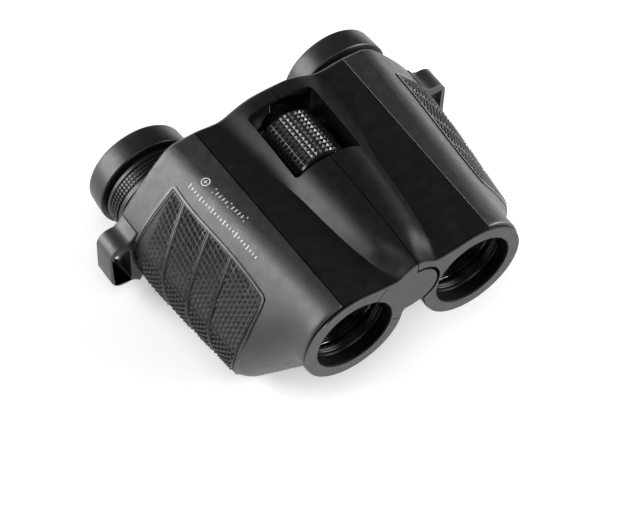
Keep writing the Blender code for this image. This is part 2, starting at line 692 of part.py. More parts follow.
def build_ring_on_sleeve(name, finish, axis, half, outer):
    place = (SIDES[half] * EYE_X, EYE_Z)
    inner = SLEEVE_OUTER + 0.2 * MM
    profile = [
        (inner, 80.3 * MM), (outer - 0.4 * MM, 80.3 * MM), (outer, 80.7 * MM),
        (outer, 87.8 * MM), (outer - 0.4 * MM, 88.2 * MM), (inner, 88.2 * MM),
    ]
    turned(name, finish, axis, place, profile, 32)


# ---------------------------------------------------------------- assembly

def build_half(half, axis):
    build_frame(half, axis)
    build_armour(half, axis)
    build_bezel(half, axis)
    build_rear_cover(half, axis)
    build_strap_lug(half, axis)
    build_grip(half, axis)
    build_objective(half, axis)
    build_prisms(half, axis)
    build_prism_straps(half, axis)


def main():
    root = empty("binoculars_stand", location=(0.0, -OVERALL_LENGTH / 2, -FOOT_Z))
    hinge = empty("interpupillary_axis", root, (0.0, 0.0, HINGE_Z))
    wheel = empty("focus_wheel_axis", root, (0.0, 0.0, HINGE_Z))
    left_carriage = empty("left_ocular_axis", root, (EYE_X, 0.0, EYE_Z))
    right_carriage = empty("right_ocular_axis", root, (-EYE_X, 0.0, EYE_Z))
    build_half("left", root)
    build_half("right", hinge)
    build_hinge_tube(root)
    build_focus_wheel(wheel)
    build_spindle(left_carriage)
    build_focus_arm("left", left_carriage, (70.9 * MM, 72.4 * MM))
    build_focus_arm("right", right_carriage, (72.7 * MM, 74.2 * MM))
    build_ocular("left", left_carriage, left_carriage)
    build_ocular("right", right_carriage, right_carriage)
    build_ring_on_sleeve("left_ocular_collar", "alloy", left_carriage, "left", 15.3 * MM)
    build_ring_on_sleeve("diopter_ring", "grip", right_carriage, "right", 15.7 * MM)


clear_scene()
parts = new_collection("Binoculars")
cutters = new_collection("Cutters")
main()
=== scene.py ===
"""Compact reverse-Porro binoculars: moulded shells, rubber armour, knurled focus wheel and eyepieces.

Shapes are made in millimetres from the middle of the front face, at the height of the objective
axes, and are put into the frame, in metres, when they are finished.
"""

import json
import math
import bmesh
import bpy
import numpy as np
from mathutils import Matrix, Vector


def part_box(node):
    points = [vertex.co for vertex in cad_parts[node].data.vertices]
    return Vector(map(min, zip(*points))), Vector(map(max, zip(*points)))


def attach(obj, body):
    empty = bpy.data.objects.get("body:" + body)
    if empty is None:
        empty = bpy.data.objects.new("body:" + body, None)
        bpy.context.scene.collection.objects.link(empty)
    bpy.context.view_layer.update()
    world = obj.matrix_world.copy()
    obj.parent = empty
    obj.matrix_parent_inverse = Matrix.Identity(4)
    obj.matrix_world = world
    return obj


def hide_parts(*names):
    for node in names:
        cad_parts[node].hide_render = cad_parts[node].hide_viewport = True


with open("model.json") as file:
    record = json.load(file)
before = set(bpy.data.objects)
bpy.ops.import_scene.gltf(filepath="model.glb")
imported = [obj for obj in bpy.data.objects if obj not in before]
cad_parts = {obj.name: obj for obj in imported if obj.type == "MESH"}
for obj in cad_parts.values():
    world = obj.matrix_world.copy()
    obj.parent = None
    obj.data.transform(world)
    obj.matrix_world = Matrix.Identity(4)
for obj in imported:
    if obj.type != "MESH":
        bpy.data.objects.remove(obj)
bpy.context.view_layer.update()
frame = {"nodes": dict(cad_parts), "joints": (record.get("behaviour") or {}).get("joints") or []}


# ------------------------------------------------------------------ studio
# A white sweep and soft boxes low round the object, for the long highlights on the barrels, with a
# weak one above. The camera is a long lens looking down over the near right barrel.

AIM = Vector((-0.00603, -0.0100, 0.01385))
AZIMUTH, ELEVATION, ROLL = math.radians(-36.9), math.radians(54.5), math.radians(3.34)
CAMERA_DISTANCE = 0.7152


def towards(azimuth, elevation):
    """Unit vector towards a bearing from the front, and a height above the floor, in radians."""
    flat = math.cos(elevation)
    return Vector((math.sin(azimuth) * flat, -math.cos(azimuth) * flat, math.sin(elevation)))


back = towards(AZIMUTH, ELEVATION)
level = Vector((math.cos(AZIMUTH), math.sin(AZIMUTH), 0.0))
rise = back.cross(level)
across = level * math.cos(ROLL) + rise * math.sin(ROLL)
upward = rise * math.cos(ROLL) - level * math.sin(ROLL)
lens = bpy.data.cameras.new("camera")
lens.sensor_width = 36.0
lens.lens = 131.8
lens.clip_start = 0.01
camera = bpy.data.objects.new("camera", lens)
stand = Matrix((across, upward, back)).transposed().to_4x4()
camera.matrix_world = Matrix.Translation(AIM + back * CAMERA_DISTANCE) @ stand
bpy.context.scene.collection.objects.link(camera)
bpy.context.scene.camera = camera
bpy.context.scene.view_settings.view_transform = "Standard"

sweep_mesh = bmesh.new()
bmesh.ops.create_circle(sweep_mesh, cap_ends=True, segments=96, radius=3.0)
sweep_data = bpy.data.meshes.new("floor")
sweep_mesh.to_mesh(sweep_data)
sweep_mesh.free()
sweep = bpy.data.objects.new("floor", sweep_data)
bpy.context.scene.collection.objects.link(sweep)
sweep_paint = bpy.data.materials.new("floor")
sweep_paint.use_nodes = True
sweep_shader = sweep_paint.node_tree.nodes["Principled BSDF"]
sweep_shader.inputs["Base Color"].default_value = (0.93, 0.93, 0.93, 1.0)
sweep_shader.inputs["Roughness"].default_value = 0.9
sweep_shader.inputs["Specular IOR Level"].default_value = 0.1
sweep_shader.inputs["Emission Color"].default_value = (1.0, 1.0, 1.0, 1.0)
sweep_shader.inputs["Emission Strength"].default_value = 0.28
sweep_data.materials.append(sweep_paint)

SOFT_BOXES = (
    # name, bearing and height in degrees, distance, width, length, power
    ("left box", -130.0, 20.0, 0.9, 0.6, 0.6, 9.6),
    ("right box", 78.0, 24.0, 0.9, 0.6, 0.6, 5.4),
    ("front box", 55.0, 12.0, 0.9, 0.6, 0.6, 9.6),
    ("back box", 180.0, 12.0, 0.9, 0.6, 0.6, 2.0),
    ("camera box", -35.0, 70.0, 0.9, 0.6, 0.6, 2.2),
)
for word, bearing, height, distance, width, length, power in SOFT_BOXES:
    light = bpy.data.lights.new(word, "AREA")
    light.shape = "RECTANGLE"
    light.size = width
    light.size_y = length
    light.energy = power
    box = bpy.data.objects.new(word, light)
    direction = towards(math.radians(bearing), math.radians(height))
    turn = direction.to_track_quat("Z", "Y").to_matrix().to_4x4()
    box.matrix_world = Matrix.Translation(AIM + direction * distance) @ turn
    bpy.context.scene.collection.objects.link(box)
room = bpy.data.worlds.new("room")
room.use_nodes = True
room.node_tree.nodes["Background"].inputs["Color"].default_value = (1.0, 1.0, 1.0, 1.0)
room.node_tree.nodes["Background"].inputs["Strength"].default_value = 0.05
bpy.context.scene.world = room


# ------------------------------------------------------------------ body shells
# Each half is one injection-moulded ABS shell: the smooth cover with half of the hump on top, the
# objective barrel, the prism chamber and the hinge knuckles. The tool's parting line is the seam.

MM = 0.001
MERGE = 0.0005          # points closer than this are one
SIDES = {"left": 1.0, "right": -1.0}
HINGE = next(j for j in frame["joints"] if j["name"] == "interpupillary_hinge")
HINGE_Z = 7.2           # the hinge above the objective axes
hinge = (0.0, HINGE_Z)  # the hinge's line, (x, z)
FRONT_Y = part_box("left_front_bezel")[0].y / MM
FOOT_Z = -33.5          # the flats that the body stands on
AXIS_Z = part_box("left_armour")[0].z / MM - FOOT_Z
TO_FRAME = Matrix.Diagonal((MM, MM, MM, 1.0)) @ Matrix.Translation((0.0, FRONT_Y, AXIS_Z))

OBJECTIVE_X = 21.1
EYE_X, EYE_Z = 36.0, -15.2
BODY_LENGTH = 78.0
SKIN_START = 0.9        # where the shell and the armour begin, behind the front plates
BEZEL_Y = 4.8           # where the section begins to widen
SHOULDER_Y = 20.0       # where the prism chamber has its full width
ARMOUR = 1.2            # thickness of the rubber
FIT = 0.2               # gap under the rubber
WALL = 1.2              # thickness of the shell round the prism chamber
CHAMBER_U = 13.2        # the chamber's inner wall
SEAM = 0.15             # half of the slit between the two halves
REAR_ROUND = 1.5
BORE_R = 13.14
KNUCKLE_R = 7.5
RECESS_R = 8.55
CHANNEL_R = 11.6
TUBE_R = 3.1
SPINDLE_R = 2.0
CHANNEL_SPAN = (43.8, 76.8)
SUPPORT_SPAN = (68.2, 69.4)     # the plate that holds the spindle's rear end
WINDOW_LOW = (-CHANNEL_R, 45.0, 8.0)
WINDOW_HIGH = (CHANNEL_R, 72.0, 30.0)
WEB_FOOT = [(9.0, 0.0), (6.7, -3.3), (4.6, -2.6), (3.3, -0.6), (SEAM, -0.6)]

# Normal angles on the skin, in degrees: the armour's top edge and its foot, the foot of the step
# under it, and where the bare inner side begins.
TOP_EDGE, ARMOUR_FOOT, STEP_FOOT, BARE_START = 74.0, -117.0, -118.0, -122.0


def mix(a, b, t):
    return a + (b - a) * t


def ramp(y, start, end):
    return min(max((y - start) / (end - start), 0.0), 1.0)


def ease(t):
    return t * t * (3.0 - 2.0 * t)


def rear_round(y):
    """How far the rear edge's rounding pulls the section in at y."""
    depth = min(max(y - (BODY_LENGTH - REAR_ROUND), 0.0), REAR_ROUND)
    return REAR_ROUND - math.sqrt(REAR_ROUND ** 2 - depth ** 2)


def section_circles(y, inset):
    """The shoulder, eyepiece and objective circles that the body's skin is wrapped around at y."""
    front = ramp(y, BEZEL_Y, SHOULDER_Y)
    rear = ease(ramp(y, SHOULDER_Y, BODY_LENGTH) ** 0.7)
    whole = ramp(y, BEZEL_Y, BODY_LENGTH)
    shoulder = (mix(24.5, 31.2, whole), mix(5.5, 5.6, whole), mix(11.8, 10.0, whole))
    full = (mix(32.7, 36.0, rear), mix(-15.9, -15.2, rear), mix(17.6, 18.9, rear))
    eyepiece = tuple(mix(a, b, front) for a, b in zip((21.1, 0.0, 15.8), full))
    objective = (21.1, 0.0, mix(17.2, 13.0, ease(whole)))
    shrink = inset + rear_round(y)
    return [(Vector((u, z)), radius - shrink) for u, z, radius in (shoulder, eyepiece, objective)]


def wrap(circles, angle):
    """The point of a soft skin around circles where its outward normal has this angle."""
    softness = 1.5
    normal = Vector((math.cos(angle), math.sin(angle)))
    heights = [centre.dot(normal) + radius for centre, radius in circles]
    top = max(heights)
    weights = [math.exp((height - top) * softness) for height in heights]
    total = sum(weights)
    point = Vector((0.0, 0.0))
    mean = 0.0
    for (centre, radius), height, weight in zip(circles, heights, weights):
        point += (centre + normal * radius) * (weight / total)
        mean += height * weight / total
    return point + normal * (top + math.log(total) / softness - mean)


def wrap_arc(y, inset, start, end, steps):
    """Points of the skin from one normal angle to another, in degrees, flat at the feet."""
    circles = section_circles(y, inset)
    floor = FOOT_Z + inset + rear_round(y)
    points = [wrap(circles, math.radians(mix(start, end, i / steps))) for i in range(steps + 1)]
    return [(point.x, max(point.y, floor)) for point in points]


def seam(y):
    """Where the armour's top edge runs: distance from the middle, and height."""
    whole = ramp(y, 0.0, BODY_LENGTH)
    return mix(25.6, 26.6, whole), mix(17.5, 15.6, whole)


def crown_z(y):
    """Height of the hump in the middle."""
    bend = 0.00225 if y < 32.0 else 0.00094
    return 21.2 - bend * (y - 32.0) ** 2


VALLEY_Y = (0.0, 8.0, 19.0, 30.0, 43.0, 56.0, 68.0, 78.0)
VALLEY_U = (7.2, 9.4, 11.5, 12.7, 13.8, 17.0, 18.4, 18.6)
VALLEY_BLEND = np.linspace(-5.0, 5.0, 21)


def cover_top(y, hump_steps=36, valley_steps=16):
    """The cover's top line, from the middle over the hump and the valley to the seam."""
    valley_u = float(np.mean(np.interp(y + VALLEY_BLEND, VALLEY_Y, VALLEY_U)))
    valley_z = mix(15.7, 14.8, ramp(y, 0.0, BODY_LENGTH))
    seam_u, seam_z = seam(y)
    shape = mix(1.1, 1.7, ease(ramp(y, 5.0, 50.0)))
    crease = ease(ramp(y, 2.0, 12.0)) * mix(1.0, 0.1, ease(ramp(y, 38.0, 56.0)))
    points = []
    for i in range(hump_steps + 1):
        u = max(valley_u * i / hump_steps, SEAM)
        smooth = 0.5 * (1.0 + math.cos(math.pi * (u / valley_u) ** shape))
        bell = mix(smooth, math.cos(math.pi / 2.0 * (u / valley_u) ** 1.5), crease)
        points.append((u, mix(valley_z, crown_z(y), bell) - rear_round(y)))
    for i in range(1, valley_steps + 1):
        t = i / valley_steps
        points.append((mix(valley_u, seam_u, t), mix(valley_z, seam_z, ease(t)) - rear_round(y)))
    return points


def web_floor(y):
    """Lower edge of the hinge's web, deeper where the focus wheel turns."""
    return mix(-2.0, -5.9, ease(ramp(y, 34.0, 43.8)))


def shell_section(y):
    """Outline of a half: the cover, the step under the armour, and the bare inner side."""
    under = ARMOUR + FIT
    seam_u, seam_z = seam(y)
    edge = [(seam_u - FIT, seam_z - rear_round(y)), (seam_u - FIT, seam_z - under - rear_round(y))]
    last = mix(-170.0, -160.0, ramp(y, 0.0, 43.8))
    return (
        cover_top(y)[:-1] + edge + wrap_arc(y, under, TOP_EDGE, STEP_FOOT, 48)
        + wrap_arc(y, 0.0, BARE_START, last, 16) + [(4.0, web_floor(y)), (SEAM, web_floor(y))]
    )


def body_stations(start, step=1.3):
    """Distances along the body where sections are taken, closer along the rear rounding."""
    straight = BODY_LENGTH - REAR_ROUND
    count = max(1, round((straight - start) / step))
    marks = [mix(start, straight, i / count) for i in range(count)]
    return marks + [straight + REAR_ROUND * math.sin(math.radians(11.25 * i)) for i in range(9)]


def lofted(rings, hub=None):
    """A closed solid through matching rings of 3D points. A hub, (x, z), is where its ends fan from."""
    bm = bmesh.new()
    count, last = len(rings[0]), len(rings) - 1
    bmesh.ops.create_grid(bm, x_segments=count, y_segments=last, size=1.0)
    for vert in bm.verts:
        i = round((vert.co.x + 1.0) / 2.0 * count) % count
        j = round((vert.co.y + 1.0) / 2.0 * last)
        vert.co = rings[j][i]
    bmesh.ops.remove_doubles(bm, verts=bm.verts, dist=MERGE)
    caps = bmesh.ops.holes_fill(bm, edges=[e for e in bm.edges if e.is_boundary], sides=0)["faces"]
    if hub:
        centres = bmesh.ops.poke(bm, faces=caps)["verts"]
        for vert in centres:
            vert.co.x, vert.co.z = hub
    bmesh.ops.recalc_face_normals(bm, faces=bm.faces)
    return bm


def turned(profile, place, steps=96):
    """A ring, tube or lens: a closed (radius, y) profile spun about the line place = (x, z)."""
    bm = bmesh.new()
    x, z = place
    verts = [bm.verts.new((x + radius, y, z)) for radius, y in profile]
    edges = [bm.edges.new(pair) for pair in zip(verts, verts[1:] + verts[:1])]
    bmesh.ops.spin(
        bm, geom=verts + edges, cent=(x, 0.0, z), axis=(0.0, 1.0, 0.0),
        angle=2.0 * math.pi, steps=steps, use_merge=True,
    )
    bmesh.ops.remove_doubles(bm, verts=bm.verts, dist=MERGE)
    bmesh.ops.dissolve_degenerate(bm, dist=MERGE, edges=bm.edges)
    bmesh.ops.recalc_face_normals(bm, faces=bm.faces)
    return bm


def bar(place, radius, span, steps=72):
    """A round bar along Y on the line place = (x, z)."""
    bm = bmesh.new()
    matrix = Matrix.Translation((place[0], (span[0] + span[1]) / 2, place[1]))
    bmesh.ops.create_cone(
        bm, cap_ends=True, segments=steps, radius1=radius, radius2=radius,
        depth=span[1] - span[0], matrix=matrix @ Matrix.Rotation(math.radians(90.0), 4, "X"),
    )
    return bm


def block(low, high):
    bm = bmesh.new()
    low, high = Vector(low), Vector(high)
    matrix = Matrix.Translation((low + high) / 2) @ Matrix.Diagonal((*(high - low), 1.0))
    bmesh.ops.create_cube(bm, size=1.0, matrix=matrix)
    return bm


def slab(outline, span):
    """A flat plate: an (x, z) outline pushed along Y."""
    bm = bmesh.new()
    base = bm.faces.new([bm.verts.new((x, span[0], z)) for x, z in outline])
    made = bmesh.ops.extrude_face_region(bm, geom=[base])["geom"]
    moved = [item for item in made if isinstance(item, bmesh.types.BMVert)]
    bmesh.ops.translate(bm, verts=moved, vec=(0.0, span[1] - span[0], 0.0))
    bmesh.ops.recalc_face_normals(bm, faces=bm.faces)
    return bm


def loose(bm, name):
    """An object of this shape, outside the frame."""
    mesh = bpy.data.meshes.new(name)
    bm.to_mesh(mesh)
    bm.free()
    made = bpy.data.objects.new(name, mesh)
    bpy.context.scene.collection.objects.link(made)
    return made


def machined(blank, *steps):
    """The blank after each (operation, tool): UNION welds a shape on, DIFFERENCE cuts it out."""
    work = loose(blank, "blank")
    tools = []
    for operation, tool in steps:
        tools.append(loose(tool, "tool"))
        step = work.modifiers.new("cut", "BOOLEAN")
        step.operation = operation
        step.object = tools[-1]
        step.solver = "MANIFOLD"
    done = bmesh.new()
    done.from_mesh(work.evaluated_get(bpy.context.evaluated_depsgraph_get()).to_mesh())
    for used in [work] + tools:
        mesh = used.data
        bpy.data.objects.remove(used)
        bpy.data.meshes.remove(mesh)
    return done


def soften(bm, radius, angle=40.0, steps=3, where=None):
    """Round the edges that turn by more than an angle."""
    limit = math.radians(angle)
    edges = [
        e for e in bm.edges
        if len(e.link_faces) == 2 and e.calc_face_angle(0.0) > limit and (where is None or where(e))
    ]
    bmesh.ops.bevel(
        bm, geom=edges, offset=radius, offset_type="OFFSET", segments=steps, profile=0.5,
        affect="EDGES", material=-1, clamp_overlap=True,
    )
    return bm


def fitted(bm, name, body, paint, stands_for=(), sharp=35.0):
    """Put a finished shape into the frame as a named piece."""
    bmesh.ops.triangulate(bm, faces=[f for f in bm.faces if len(f.verts) > 4])
    bmesh.ops.transform(bm, matrix=TO_FRAME, verts=bm.verts)
    made = loose(bm, name)
    made.data.shade_smooth()
    made.data.set_sharp_from_angle(angle=math.radians(sharp))
    made.data.materials.append(paint)
    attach(made, body)
    if stands_for:
        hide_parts(*stands_for)
    return made


def paint(name, colour, roughness, grain=0.3, depth=0.02, spread=0.15, metallic=0.0, level=0.5):
    """A moulded or machined finish. Grain is its texture's size and depth its height, in millimetres;
    spread is how much its colour varies over the piece, while its gloss varies a little everywhere."""
    made = bpy.data.materials.new(name)
    made.use_nodes = True
    nodes, links = made.node_tree.nodes, made.node_tree.links
    shader = nodes["Principled BSDF"]
    shader.inputs["Metallic"].default_value = metallic
    shader.inputs["Specular IOR Level"].default_value = level
    place = nodes.new("ShaderNodeTexCoord")

    def noise(size, detail):
        made_noise = nodes.new("ShaderNodeTexNoise")
        made_noise.inputs["Scale"].default_value = 1.0 / (size * MM)
        made_noise.inputs["Detail"].default_value = detail
        links.new(place.outputs["Object"], made_noise.inputs["Vector"])
        return made_noise

    def spans(source, socket, low, high):
        ranged = nodes.new("ShaderNodeMapRange")
        ranged.inputs["From Min"].default_value = 0.3
        ranged.inputs["From Max"].default_value = 0.7
        ranged.inputs["To Min"].default_value = low
        ranged.inputs["To Max"].default_value = high
        links.new(source.outputs["Fac"], ranged.inputs["Value"])
        links.new(ranged.outputs["Result"], socket)

    cloud = noise(9.0, 3.0)
    tint = nodes.new("ShaderNodeMix")
    tint.data_type = "RGBA"
    tint.inputs["A"].default_value = (*(c * (1.0 - spread) for c in colour), 1.0)
    tint.inputs["B"].default_value = (*(c * (1.0 + spread) for c in colour), 1.0)
    spans(cloud, tint.inputs["Factor"], 0.0, 1.0)
    links.new(tint.outputs["Result"], shader.inputs["Base Color"])
    spans(noise(3.0, 4.0), shader.inputs["Roughness"], roughness - 0.05, roughness + 0.05)
    bump = nodes.new("ShaderNodeBump")
    bump.inputs["Strength"].default_value = 1.0
    bump.inputs["Distance"].default_value = depth * MM
    links.new(noise(grain, 2.0).outputs["Fac"], bump.inputs["Height"])
    links.new(bump.outputs["Normal"], shader.inputs["Normal"])
    return made


cover_paint = paint(
    "cover plastic", (0.0045, 0.0045, 0.0047), 0.38, grain=0.30, depth=0.020, level=0.40,
)


def hinge_gap(side, span):
    """The space below the hinge that a half leaves free for the other half's travel."""
    half_fold = math.radians(HINGE["range_deg"][1] / 2.0 + 0.6)
    reach = 60.0
    outline = [
        (side * SEAM, HINGE_Z), (-side * 20.0, HINGE_Z), (-side * 20.0, HINGE_Z - reach),
        (side * (SEAM + reach * math.tan(half_fold)), HINGE_Z - reach),
    ]
    return slab(outline, span)


def prism_chamber(side):
    """The hollow that holds the prisms, open at the rear."""
    inset = ARMOUR + FIT + WALL
    marks = [13.0 + 7.0 * i for i in range(10)] + [79.0]
    rings = []
    for y in marks:
        circles = section_circles(min(y, 76.0), inset)
        circles[2] = (circles[2][0], OBJECTIVE_X - CHAMBER_U)
        points = [wrap(circles, 2.0 * math.pi * i / 60) for i in range(60)]
        rings.append([(side * max(p.x, CHAMBER_U), y, max(p.y, FOOT_Z + inset)) for p in points])
    return lofted(rings, (side * 30.0, -6.0))


for half, side in SIDES.items():
    stations = body_stations(SKIN_START)
    rings = [[(side * u, y, z) for u, z in shell_section(y)] for y in stations]
    barrel = (side * OBJECTIVE_X, 0.0)
    web = cover_top(0.8)[:36] + [(11.2, 13.9), (13.0, 11.0)] + WEB_FOOT
    bore = [(0.0, -1.0), (BORE_R, -1.0), (BORE_R, 26.0), (8.2, 43.0), (0.0, 43.0)]
    knuckle = (13.5, 43.2) if half == "left" else (0.9, 13.1)
    recess = (-1.0, 13.5) if half == "left" else (13.2, 44.3)
    arm_notch = sorted((side * 7.0, side * 17.0))
    steps = [
        ("UNION", slab([(side * u, z) for u, z in web], (0.8, 6.0))),
        ("DIFFERENCE", prism_chamber(side)),
        ("DIFFERENCE", turned(bore, barrel)),
        ("DIFFERENCE", bar(hinge, CHANNEL_R, CHANNEL_SPAN, 120)),
        ("DIFFERENCE", bar(hinge, RECESS_R, recess, 120)),
        ("DIFFERENCE", hinge_gap(side, (-1.0, 80.0))),
        ("UNION", bar(hinge, KNUCKLE_R, knuckle, 96)),
    ]
    if half == "right":
        steps += [
            ("UNION", block(
                (-12.5, SUPPORT_SPAN[0], HINGE_Z - 3.0), (0.0, SUPPORT_SPAN[1], HINGE_Z + 3.0),
            )),
            ("UNION", bar(hinge, 5.5, SUPPORT_SPAN)),
            ("DIFFERENCE", bar(hinge, SPINDLE_R, (66.0, 71.0))),
        ]
    steps += [
        ("DIFFERENCE", bar(hinge, TUBE_R, (1.5, 45.0))),
        ("DIFFERENCE", soften(
            block(WINDOW_LOW, WINDOW_HIGH), 1.4, steps=6,
            where=lambda e: abs(e.verts[0].co.z - e.verts[1].co.z) > 1.0,
        )),
        ("DIFFERENCE", block((arm_notch[0], 69.5, -7.0), (arm_notch[1], 76.6, 5.5))),
    ]
    shell = machined(lofted(rings, (side * 20.0, 3.0)), *steps)
    fitted(
        shell, f"{half}_shell", f"{half}_body", cover_paint, [f"{half}_frame"],
        sharp=30.0,
    )


# ------------------------------------------------------------------ front plates
# The grey face round each objective and the hinge web is a separate ABS moulding, bonded to the
# shell. The right one carries the hinge's round tongue, which turns in a recess of the left one.

plate_paint = paint("front plate plastic", (0.018, 0.018, 0.0185), 0.36, grain=0.2, depth=0.004)
PLATE_END = 0.6
RING_R = 17.05
WEB_SIDE = [(19.0, 0.0)] + WEB_FOOT
SPLITS = (((10.6, 14.9), (13.9, 10.6)), ((5.4, -4.2), (7.6, -2.6)))
SPLIT_WIDTH, SPLIT_DEPTH = 0.28, 0.4
for half, side in SIDES.items():
    barrel = (side * OBJECTIVE_X, 0.0)
    web = []
    for y in (0.0, PLATE_END):
        web.append([(side * u, y, z) for u, z in cover_top(y)[:48] + WEB_SIDE])
    steps = [("UNION", lofted(web, (side * 9.0, 7.0)))]
    if half == "right":
        steps += [("UNION", bar(hinge, KNUCKLE_R, (0.0, PLATE_END), 96))]
    steps += [("DIFFERENCE", bar(barrel, BORE_R, (-1.0, 6.0), 128))]
    if half == "left":
        steps += [
            ("DIFFERENCE", bar(hinge, RECESS_R, (-1.0, 6.0), 128)),
            ("DIFFERENCE", hinge_gap(side, (-1.0, 6.0))),
        ]
    plate = machined(bar(barrel, RING_R, (0.0, PLATE_END), 128), *steps)
    bmesh.ops.dissolve_limit(
        plate, angle_limit=math.radians(1.0), verts=plate.verts, edges=plate.edges,
    )
    soften(plate, 0.35, angle=50.0, where=lambda e: all(v.co.y < 0.01 for v in e.verts))
    if half == "right":
        for start, end in SPLITS:
            a, b = Vector((-start[0], start[1])), Vector((-end[0], end[1]))
            wide = Vector((-(b - a).y, (b - a).x)).normalized() * SPLIT_WIDTH / 2
            corners = [a - wide, b - wide, b + wide, a + wide]
            plate = machined(plate, ("DIFFERENCE", slab(corners, (-1.0, SPLIT_DEPTH))))
    fitted(
        plate, f"{half}_front_plate", f"{half}_body", plate_paint,
        [f"{half}_front_bezel"],
    )


# ------------------------------------------------------------------ rubber armour
# A soft rubber skin moulded over the outside of each shell, from the seam on top round to the
# underside, with a fine spark-eroded grain and a pocket for the finger grip.

armour_paint = paint(
    "armour rubber", (0.0095, 0.0095, 0.0098), 0.45, grain=0.40, depth=0.070, spread=0.10, level=0.85,
)
FRONT_ROUND = 0.5
FRONT_STEPS = (0.0, 0.04, 0.13, 0.28, 0.5)
GRIP_OUTLINE = [
    # distance round the body from its shoulder line, and distance from the front face
    (-1.7, 67.6), (9.0, 68.1), (18.0, 68.2), (25.0, 67.8), (31.0, 66.2), (35.5, 63.2), (38.2, 58.0),
    (41.5, 42.0), (44.0, 26.0), (44.4, 21.6), (41.0, 19.4), (30.0, 18.0), (20.4, 18.2), (10.6, 19.3),
    (6.3, 20.3),
]
GRIP_CORNERS = (0, 9, 14)       # the outline's points that are rounded off
SHOULDER_LINE = 41.0            # the normal angle that distances round the body start from


def front_round(y):
    """How far the armour's front edge is rounded in at y."""
    depth = max(FRONT_ROUND - (y - SKIN_START), 0.0)
    return FRONT_ROUND - math.sqrt(FRONT_ROUND ** 2 - min(depth, FRONT_ROUND) ** 2)


MAP_YS = np.arange(12.0, 74.0, 1.0)
MAP_ANGLES = np.arange(80.0, -121.0, -1.0)
map_points = np.array([
    [wrap(section_circles(y, 0.0), math.radians(a)) for a in MAP_ANGLES] for y in MAP_YS
])
map_steps = np.linalg.norm(np.diff(map_points, axis=1), axis=2)
map_runs = np.concatenate([np.zeros((len(MAP_YS), 1)), np.cumsum(map_steps, axis=1)], axis=1)
map_runs -= map_runs[:, MAP_ANGLES == SHOULDER_LINE]


def on_body(side, run, y, height):
    """The point at a distance round the body from its shoulder line, at y, this high above it."""
    row = min(max((y - MAP_YS[0]) / (MAP_YS[1] - MAP_YS[0]), 0.0), len(MAP_YS) - 1.001)
    low = int(row)
    spot = np.zeros(3)
    for index, share in ((low, 1.0 - (row - low)), (low + 1, row - low)):
        runs = map_runs[index]
        spot += share * np.array([
            np.interp(run, runs, map_points[index][:, 0]),
            np.interp(run, runs, map_points[index][:, 1]),
            np.interp(run, runs, MAP_ANGLES),
        ])
    angle = math.radians(spot[2])
    across_u, across_z = height * math.cos(angle), height * math.sin(angle)
    return Vector((side * (spot[0] + across_u), y, spot[1] + across_z))


def laid_on_body(bm, side):
    """Bend a flat shape, drawn as (round the body, along it, height), on to the armour."""
    for vert in bm.verts:
        vert.co = on_body(side, *vert.co)
    bmesh.ops.recalc_face_normals(bm, faces=bm.faces)
    return bm


def cross_cut(bm, run_step=1.2, y_step=4.0):
    """Cut a flat shape's faces small enough to bend."""
    spans = (
        (Vector((1.0, 0.0, 0.0)), -14.0, 48.0, run_step),
        (Vector((0.0, 1.0, 0.0)), 14.0, 72.0, y_step),
    )
    for normal, start, end, step in spans:
        for i in range(int((end - start) / step)):
            bmesh.ops.bisect_plane(
                bm, geom=bm.verts[:] + bm.edges[:] + bm.faces[:],
                plane_co=normal * (start + i * step), plane_no=normal,
            )
    return bm


def grip_slab(margin, low, high):
    """The grip's outline, grown by a margin, as a flat plate between two heights."""
    bm = bmesh.new()
    base = bm.faces.new([bm.verts.new((run, y, low)) for run, y in GRIP_OUTLINE])
    if base.normal.z < 0.0:
        base.normal_flip()
    bm.verts.ensure_lookup_table()
    bmesh.ops.bevel(
        bm, geom=[bm.verts[i] for i in GRIP_CORNERS], offset=1.6, offset_type="OFFSET", segments=5,
        profile=0.5, affect="VERTICES", material=-1,
    )
    face = max(bm.faces, key=lambda f: f.calc_area())
    if margin:
        bmesh.ops.inset_region(bm, faces=[face], thickness=-margin, depth=0.0, use_boundary=True)
        bmesh.ops.dissolve_faces(bm, faces=bm.faces[:])
        face = bm.faces[:][0]
    made = bmesh.ops.extrude_face_region(bm, geom=[face], use_keep_orig=True)["geom"]
    top = [item for item in made if isinstance(item, bmesh.types.BMVert)]
    bmesh.ops.translate(bm, verts=top, vec=(0.0, 0.0, high - low))
    bmesh.ops.recalc_face_normals(bm, faces=bm.faces)
    return bm


for half, side in SIDES.items():
    rings = []
    for y in [SKIN_START + step for step in FRONT_STEPS] + body_stations(2.4):
        seam_u, seam_z = seam(y)
        seam_z -= rear_round(y) + front_round(y)
        lip = [(seam_u + 0.1, seam_z - 0.35), (seam_u + 0.16, seam_z - 0.12), (seam_u + 0.35, seam_z)]
        outer = lip + wrap_arc(y, front_round(y), TOP_EDGE, ARMOUR_FOOT, 96)
        inner = [(seam_u + 0.1, seam_z - ARMOUR)] + wrap_arc(y, ARMOUR, TOP_EDGE, ARMOUR_FOOT, 96)
        rings.append([(side * u, y, z) for u, z in outer + inner[::-1]])
    pocket = laid_on_body(cross_cut(grip_slab(0.35, -0.7, 1.5)), side)
    skin = machined(lofted(rings), ("DIFFERENCE", pocket))
    fitted(skin, f"{half}_armour_skin", f"{half}_body", armour_paint, [f"{half}_armour"])


# ------------------------------------------------------------------ finger grips
# A harder rubber insert glued in each pocket: a raised frame and three slanting ribs round four
# pads, and on each pad a field of small sharp pyramids.

